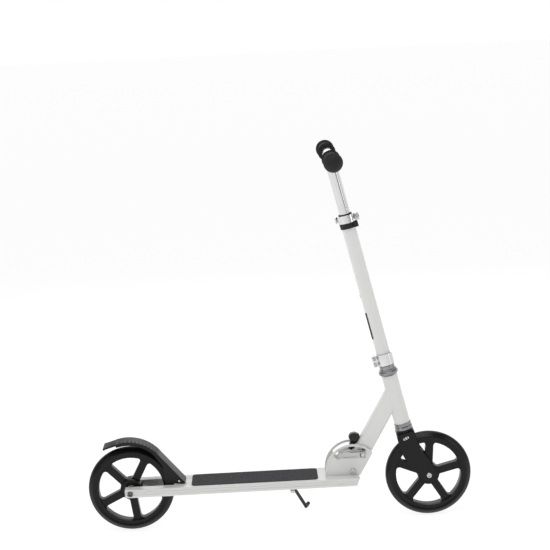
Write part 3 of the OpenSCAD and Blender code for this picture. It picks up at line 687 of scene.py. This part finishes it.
grip_coat = soft_grip("soft_black_grip")
bar_line = column @ Matrix.Translation((0, 0, 0.772))
bore, rib_r, groove_r, dome = 0.0111, 0.0165, 0.0160, 0.0227
RIBS = 9
for side, turn in (("left", -pi / 2), ("right", pi / 2)):
    low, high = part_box("grip_" + side)
    start, tip = sorted((abs(low.y), abs(high.y)))
    flange = [(0.0200, start), (0.0208, start + 0.0013), (0.0200, start + 0.0030)]
    outline = [(bore, start), *flange, (0.0168, start + 0.0042)]
    pitch = (tip - 0.022 - start - 0.008) / RIBS
    for number in range(RIBS):
        at = start + 0.006 + number * pitch
        outline += [(rib_r, at), (rib_r, at + pitch * 0.72)]
        outline += [(groove_r, at + pitch * 0.80), (groove_r, at + pitch * 0.92)]
    outline += [(0.0168, tip - 0.0195), (0.0206, tip - 0.0182), (0.0213, tip - 0.0168)]
    for up in range(22, 90, 7):
        outline.append((dome * cos(radians(up)), tip - dome + dome * sin(radians(up))))
    outline += [(0.0, tip), (0.0, tip - 0.0070), (bore, tip - 0.0070)]
    shown(
        turned(outline, bar_line @ Matrix.Rotation(turn, 4, "X")), f"grip_{side}_finished",
        "bar_" + side, grip_coat, ["grip_" + side], 0.0004, 2, 24,
    )


# ---- Studio ----
# A plain pale floor under soft light: a broad panel overhead, one to each side and one behind the
# scooter, with a sky of greys that vary so that bright metal has something to show.
def pale_floor():
    sweep = Finish("pale_floor")
    return sweep.surface(
        Base_Color=(0.26, 0.26, 0.26, 1.0), Roughness=0.9,
        Emission_Color=(1.0, 1.0, 1.0, 1.0), Emission_Strength=0.86,
    )


bm = bmesh.new()
bmesh.ops.create_circle(bm, cap_ends=True, segments=96, radius=40.0)
floor = bpy.data.objects.new("floor", bpy.data.meshes.new("floor"))
bm.to_mesh(floor.data)
bm.free()
floor.data.materials.append(pale_floor())
bpy.context.scene.collection.objects.link(floor)


def soft_panel(name, at, aim, size, power):
    lamp = bpy.data.lights.new(name, "AREA")
    lamp.shape = "RECTANGLE"
    lamp.size, lamp.size_y = size
    lamp.energy = power
    panel = bpy.data.objects.new(name, lamp)
    panel.location = at
    panel.rotation_euler = (Vector(aim) - Vector(at)).to_track_quat("-Z", "Y").to_euler()
    bpy.context.scene.collection.objects.link(panel)


soft_panel("overhead", (-0.2, -0.7, 2.6), (0, 0, 0.2), (2.2, 1.2), 26)
soft_panel("left_side", (-2.4, -1.7, 1.3), (0, 0, 0.4), (0.9, 2.0), 12)
soft_panel("right_side", (2.6, -1.0, 1.3), (0.1, 0, 0.4), (0.6, 2.0), 10)
soft_panel("behind", (0.4, 2.6, 1.6), (0, 0, 0.4), (2.4, 1.2), 10)

bpy.context.scene.view_settings.view_transform = "Standard"
world = bpy.data.worlds.new("studio")
bpy.context.scene.world = world
world.use_nodes = True
sky = Wiring(world.node_tree)
backdrop = sky.nodes["Background"]
sky.feed(backdrop.inputs["Strength"], 1.0)
way = sky.node("ShaderNodeTexCoord")
parts = sky.node("ShaderNodeSeparateXYZ", {}, {0: way.outputs["Generated"]})


def sky_ramp(part, greys):
    """Greys of the sky along one part of the way that it is looked at."""
    wanted = {"From Min": -1.0, "Value": parts.outputs[part]}
    spread = sky.node("ShaderNodeMapRange", {}, wanted)
    stops = [((at + 1.0) / 2.0, (grey, grey, grey)) for at, grey in greys]
    ramp = sky.node("ShaderNodeValToRGB", {"stops": stops}, {"Fac": spread.outputs["Result"]})
    return ramp.outputs["Color"]


upward = sky_ramp("Z", ((0.10, 1.0), (0.40, 0.55), (0.95, 0.40)))
onward = sky_ramp("Y", ((-0.80, 0.22), (-0.15, 0.30), (0.10, 0.85), (0.45, 1.0)))
both = sky.node(
    "ShaderNodeMix",
    {"data_type": "RGBA", "blend_type": "MULTIPLY"},
    {0: 1.0, 6: upward, 7: onward},
)
sky.feed(backdrop.inputs["Color"], both.outputs[2])

eye = bpy.data.cameras.new("eye")
eye.sensor_width = 36.0
eye.lens = 93.6
eye.clip_end = 200.0
camera = bpy.data.objects.new("camera", eye)
bpy.context.scene.collection.objects.link(camera)
bpy.context.scene.camera = camera
eye_at = (-0.0275, -3.2, 1.1737)
yaw, pitch, roll = radians(0.7), radians(10.4), radians(-2.8)
ahead = Vector((sin(yaw) * cos(pitch), cos(yaw) * cos(pitch), -sin(pitch)))
level = Vector((cos(yaw), -sin(yaw), 0.0))
lifted = level.cross(ahead)
right = cos(roll) * level + sin(roll) * lifted
top = -sin(roll) * level + cos(roll) * lifted
facing = Matrix((right, top, -ahead)).transposed()
camera.matrix_world = Matrix.Translation(eye_at) @ facing.to_4x4()
